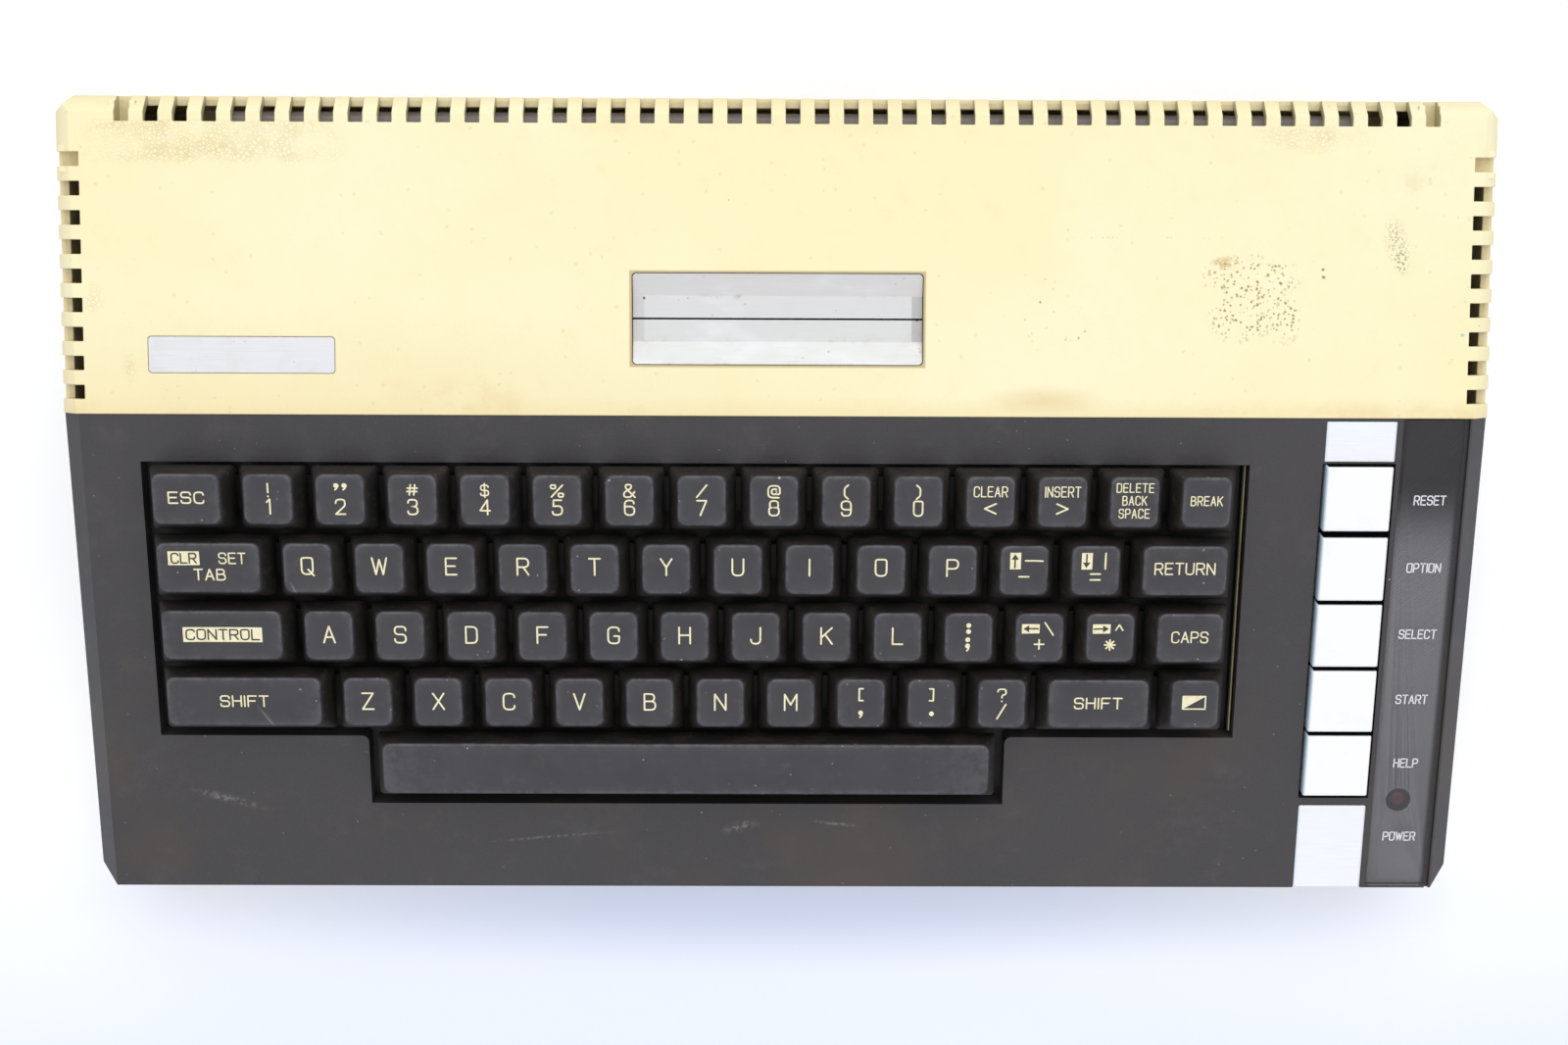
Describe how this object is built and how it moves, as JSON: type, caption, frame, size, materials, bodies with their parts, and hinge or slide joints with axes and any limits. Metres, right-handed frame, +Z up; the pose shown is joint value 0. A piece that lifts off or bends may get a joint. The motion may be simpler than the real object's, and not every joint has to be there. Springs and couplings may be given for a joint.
{
  "type": "vintage home computer",
  "caption": "Low wedge-shaped home computer with a full keyboard, a column of console keys, vents and a cartridge slot with two sprung doors.",
  "frame": {"origin": "on the table, under the middle of the case", "axes": "+X to the user's right, +Y to the rear with the sockets, +Z up"},
  "size_m": [0.3792, 0.2178, 0.0646],
  "materials": {
    "beige_abs": "fine leather grain, yellowed",
    "charcoal_abs": "satin",
    "dark_keycap": "satin, worn at the edges",
    "white_abs": "satin gloss",
    "bright_trim": "bright, lightly speckled",
    "brushed_aluminium": "brushed along the length",
    "plate_aluminium": "brushed, bare",
    "smoked_acrylic": "polished",
    "red_lamp": "clear moulded",
    "zinc_steel": "zinc plated",
    "circuit_board": "solder mask",
    "black_plastic": "satin",
    "foot_rubber": "matt"
  },
  "bodies": {
    "case": {"bottom_case": "beige_abs", "rear_cover": "beige_abs", "front_bezel": "charcoal_abs", "nameplate": "plate_aluminium", "cartridge_socket": "black_plastic", "console_trims": "bright_trim", "legend_strip": "smoked_acrylic", "power_lamp": "red_lamp", "keyboard_frame": "zinc_steel", "keyboard_board": "circuit_board", "main_board": "circuit_board", "board_shield": "zinc_steel", "controller_ports": "zinc_steel", "rear_sockets": "black_plastic", "tv_modulator": "zinc_steel", "rubber_feet": "foot_rubber", "case_screws": "zinc_steel"},
    "q_key": {"q_key": "dark_keycap"},
    "w_key": {"w_key": "dark_keycap"},
    "e_key": {"e_key": "dark_keycap"},
    "r_key": {"r_key": "dark_keycap"},
    "t_key": {"t_key": "dark_keycap"},
    "y_key": {"y_key": "dark_keycap"},
    "u_key": {"u_key": "dark_keycap"},
    "i_key": {"i_key": "dark_keycap"},
    "o_key": {"o_key": "dark_keycap"},
    "p_key": {"p_key": "dark_keycap"},
    "a_key": {"a_key": "dark_keycap"},
    "s_key": {"s_key": "dark_keycap"},
    "d_key": {"d_key": "dark_keycap"},
    "f_key": {"f_key": "dark_keycap"},
    "g_key": {"g_key": "dark_keycap"},
    "h_key": {"h_key": "dark_keycap"},
    "j_key": {"j_key": "dark_keycap"},
    "k_key": {"k_key": "dark_keycap"},
    "l_key": {"l_key": "dark_keycap"},
    "z_key": {"z_key": "dark_keycap"},
    "x_key": {"x_key": "dark_keycap"},
    "c_key": {"c_key": "dark_keycap"},
    "v_key": {"v_key": "dark_keycap"},
    "b_key": {"b_key": "dark_keycap"},
    "n_key": {"n_key": "dark_keycap"},
    "m_key": {"m_key": "dark_keycap"},
    "space_bar": {"space_bar": "dark_keycap"},
    "return_key": {"return_key": "dark_keycap"},
    "left_shift_key": {"left_shift_key": "dark_keycap"},
    "right_shift_key": {"right_shift_key": "dark_keycap"},
    "number_keys": {"number_keys": "dark_keycap"},
    "symbol_keys": {"symbol_keys": "dark_keycap"},
    "function_keys": {"function_keys": "dark_keycap"},
    "reset_key": {"reset_key": "white_abs"},
    "option_key": {"option_key": "white_abs"},
    "select_key": {"select_key": "white_abs"},
    "start_key": {"start_key": "white_abs"},
    "help_key": {"help_key": "white_abs"},
    "cartridge_door_rear": {"cartridge_door_rear": "brushed_aluminium"},
    "cartridge_door_front": {"cartridge_door_front": "brushed_aluminium"},
    "power_rocker": {"power_rocker": "black_plastic"},
    "channel_slider": {"channel_slider": "black_plastic"},
    "bus_cover": {"bus_cover": "charcoal_abs"}
  },
  "joints": [
    {"name": "q_key_press", "type": "slide", "parent": "case", "child": "q_key", "axis": [0, 0.1908, -0.9816], "range_m": [0, 0.0035], "stiffness_N_per_m": 120, "springref_m": -0.004},
    {"name": "w_key_press", "type": "slide", "parent": "case", "child": "w_key", "axis": [0, 0.1908, -0.9816], "range_m": [0, 0.0035], "stiffness_N_per_m": 120, "springref_m": -0.004},
    {"name": "e_key_press", "type": "slide", "parent": "case", "child": "e_key", "axis": [0, 0.1908, -0.9816], "range_m": [0, 0.0035], "stiffness_N_per_m": 120, "springref_m": -0.004},
    {"name": "r_key_press", "type": "slide", "parent": "case", "child": "r_key", "axis": [0, 0.1908, -0.9816], "range_m": [0, 0.0035], "stiffness_N_per_m": 120, "springref_m": -0.004},
    {"name": "t_key_press", "type": "slide", "parent": "case", "child": "t_key", "axis": [0, 0.1908, -0.9816], "range_m": [0, 0.0035], "stiffness_N_per_m": 120, "springref_m": -0.004},
    {"name": "y_key_press", "type": "slide", "parent": "case", "child": "y_key", "axis": [0, 0.1908, -0.9816], "range_m": [0, 0.0035], "stiffness_N_per_m": 120, "springref_m": -0.004},
    {"name": "u_key_press", "type": "slide", "parent": "case", "child": "u_key", "axis": [0, 0.1908, -0.9816], "range_m": [0, 0.0035], "stiffness_N_per_m": 120, "springref_m": -0.004},
    {"name": "i_key_press", "type": "slide", "parent": "case", "child": "i_key", "axis": [0, 0.1908, -0.9816], "range_m": [0, 0.0035], "stiffness_N_per_m": 120, "springref_m": -0.004},
    {"name": "o_key_press", "type": "slide", "parent": "case", "child": "o_key", "axis": [0, 0.1908, -0.9816], "range_m": [0, 0.0035], "stiffness_N_per_m": 120, "springref_m": -0.004},
    {"name": "p_key_press", "type": "slide", "parent": "case", "child": "p_key", "axis": [0, 0.1908, -0.9816], "range_m": [0, 0.0035], "stiffness_N_per_m": 120, "springref_m": -0.004},
    {"name": "a_key_press", "type": "slide", "parent": "case", "child": "a_key", "axis": [0, 0.1908, -0.9816], "range_m": [0, 0.0035], "stiffness_N_per_m": 120, "springref_m": -0.004},
    {"name": "s_key_press", "type": "slide", "parent": "case", "child": "s_key", "axis": [0, 0.1908, -0.9816], "range_m": [0, 0.0035], "stiffness_N_per_m": 120, "springref_m": -0.004},
    {"name": "d_key_press", "type": "slide", "parent": "case", "child": "d_key", "axis": [0, 0.1908, -0.9816], "range_m": [0, 0.0035], "stiffness_N_per_m": 120, "springref_m": -0.004},
    {"name": "f_key_press", "type": "slide", "parent": "case", "child": "f_key", "axis": [0, 0.1908, -0.9816], "range_m": [0, 0.0035], "stiffness_N_per_m": 120, "springref_m": -0.004},
    {"name": "g_key_press", "type": "slide", "parent": "case", "child": "g_key", "axis": [0, 0.1908, -0.9816], "range_m": [0, 0.0035], "stiffness_N_per_m": 120, "springref_m": -0.004},
    {"name": "h_key_press", "type": "slide", "parent": "case", "child": "h_key", "axis": [0, 0.1908, -0.9816], "range_m": [0, 0.0035], "stiffness_N_per_m": 120, "springref_m": -0.004},
    {"name": "j_key_press", "type": "slide", "parent": "case", "child": "j_key", "axis": [0, 0.1908, -0.9816], "range_m": [0, 0.0035], "stiffness_N_per_m": 120, "springref_m": -0.004},
    {"name": "k_key_press", "type": "slide", "parent": "case", "child": "k_key", "axis": [0, 0.1908, -0.9816], "range_m": [0, 0.0035], "stiffness_N_per_m": 120, "springref_m": -0.004},
    {"name": "l_key_press", "type": "slide", "parent": "case", "child": "l_key", "axis": [0, 0.1908, -0.9816], "range_m": [0, 0.0035], "stiffness_N_per_m": 120, "springref_m": -0.004},
    {"name": "z_key_press", "type": "slide", "parent": "case", "child": "z_key", "axis": [0, 0.1908, -0.9816], "range_m": [0, 0.0035], "stiffness_N_per_m": 120, "springref_m": -0.004},
    {"name": "x_key_press", "type": "slide", "parent": "case", "child": "x_key", "axis": [0, 0.1908, -0.9816], "range_m": [0, 0.0035], "stiffness_N_per_m": 120, "springref_m": -0.004},
    {"name": "c_key_press", "type": "slide", "parent": "case", "child": "c_key", "axis": [0, 0.1908, -0.9816], "range_m": [0, 0.0035], "stiffness_N_per_m": 120, "springref_m": -0.004},
    {"name": "v_key_press", "type": "slide", "parent": "case", "child": "v_key", "axis": [0, 0.1908, -0.9816], "range_m": [0, 0.0035], "stiffness_N_per_m": 120, "springref_m": -0.004},
    {"name": "b_key_press", "type": "slide", "parent": "case", "child": "b_key", "axis": [0, 0.1908, -0.9816], "range_m": [0, 0.0035], "stiffness_N_per_m": 120, "springref_m": -0.004},
    {"name": "n_key_press", "type": "slide", "parent": "case", "child": "n_key", "axis": [0, 0.1908, -0.9816], "range_m": [0, 0.0035], "stiffness_N_per_m": 120, "springref_m": -0.004},
    {"name": "m_key_press", "type": "slide", "parent": "case", "child": "m_key", "axis": [0, 0.1908, -0.9816], "range_m": [0, 0.0035], "stiffness_N_per_m": 120, "springref_m": -0.004},
    {"name": "space_bar_press", "type": "slide", "parent": "case", "child": "space_bar", "axis": [0, 0.1908, -0.9816], "range_m": [0, 0.0035], "stiffness_N_per_m": 200, "springref_m": -0.004},
    {"name": "return_key_press", "type": "slide", "parent": "case", "child": "return_key", "axis": [0, 0.1908, -0.9816], "range_m": [0, 0.0035], "stiffness_N_per_m": 120, "springref_m": -0.004},
    {"name": "left_shift_key_press", "type": "slide", "parent": "case", "child": "left_shift_key", "axis": [0, 0.1908, -0.9816], "range_m": [0, 0.0035], "stiffness_N_per_m": 120, "springref_m": -0.004},
    {"name": "right_shift_key_press", "type": "slide", "parent": "case", "child": "right_shift_key", "axis": [0, 0.1908, -0.9816], "range_m": [0, 0.0035], "stiffness_N_per_m": 120, "springref_m": -0.004},
    {"name": "number_keys_press", "type": "slide", "parent": "case", "child": "number_keys", "axis": [0, 0.1908, -0.9816], "range_m": [0, 0.0035], "stiffness_N_per_m": 400, "springref_m": -0.004},
    {"name": "symbol_keys_press", "type": "slide", "parent": "case", "child": "symbol_keys", "axis": [0, 0.1908, -0.9816], "range_m": [0, 0.0035], "stiffness_N_per_m": 400, "springref_m": -0.004},
    {"name": "function_keys_press", "type": "slide", "parent": "case", "child": "function_keys", "axis": [0, 0.1908, -0.9816], "range_m": [0, 0.0035], "stiffness_N_per_m": 400, "springref_m": -0.004},
    {"name": "reset_key_press", "type": "slide", "parent": "case", "child": "reset_key", "axis": [0, 0.1908, -0.9816], "range_m": [0, 0.002], "stiffness_N_per_m": 200, "springref_m": -0.003},
    {"name": "option_key_press", "type": "slide", "parent": "case", "child": "option_key", "axis": [0, 0.1908, -0.9816], "range_m": [0, 0.002], "stiffness_N_per_m": 200, "springref_m": -0.003},
    {"name": "select_key_press", "type": "slide", "parent": "case", "child": "select_key", "axis": [0, 0.1908, -0.9816], "range_m": [0, 0.002], "stiffness_N_per_m": 200, "springref_m": -0.003},
    {"name": "start_key_press", "type": "slide", "parent": "case", "child": "start_key", "axis": [0, 0.1908, -0.9816], "range_m": [0, 0.002], "stiffness_N_per_m": 200, "springref_m": -0.003},
    {"name": "help_key_press", "type": "slide", "parent": "case", "child": "help_key", "axis": [0, 0.1908, -0.9816], "range_m": [0, 0.002], "stiffness_N_per_m": 200, "springref_m": -0.003},
    {"name": "cartridge_door_rear_hinge", "type": "hinge", "parent": "case", "child": "cartridge_door_rear", "pos_m": [0, 0.06655, 0.0538], "axis": [1, 0, 0], "range_deg": [0, 88], "stiffness_Nm_per_rad": 0.01, "springref_deg": -17.19},
    {"name": "cartridge_door_front_hinge", "type": "hinge", "parent": "case", "child": "cartridge_door_front", "pos_m": [0, 0.03585, 0.0538], "axis": [-1, 0, 0], "range_deg": [0, 88], "stiffness_Nm_per_rad": 0.01, "springref_deg": -17.19},
    {"name": "power_rocker_tilt", "type": "hinge", "parent": "case", "child": "power_rocker", "pos_m": [-0.138, 0.0934, 0.0162], "axis": [1, 0, 0], "range_deg": [0, 18]},
    {"name": "channel_slide", "type": "slide", "parent": "case", "child": "channel_slider", "axis": [1, 0, 0], "range_m": [0, 0.0045]},
    {"name": "bus_cover_pull", "type": "slide", "parent": "case", "child": "bus_cover", "axis": [0, 1, 0], "range_m": [0, 0.03]}
  ]
}
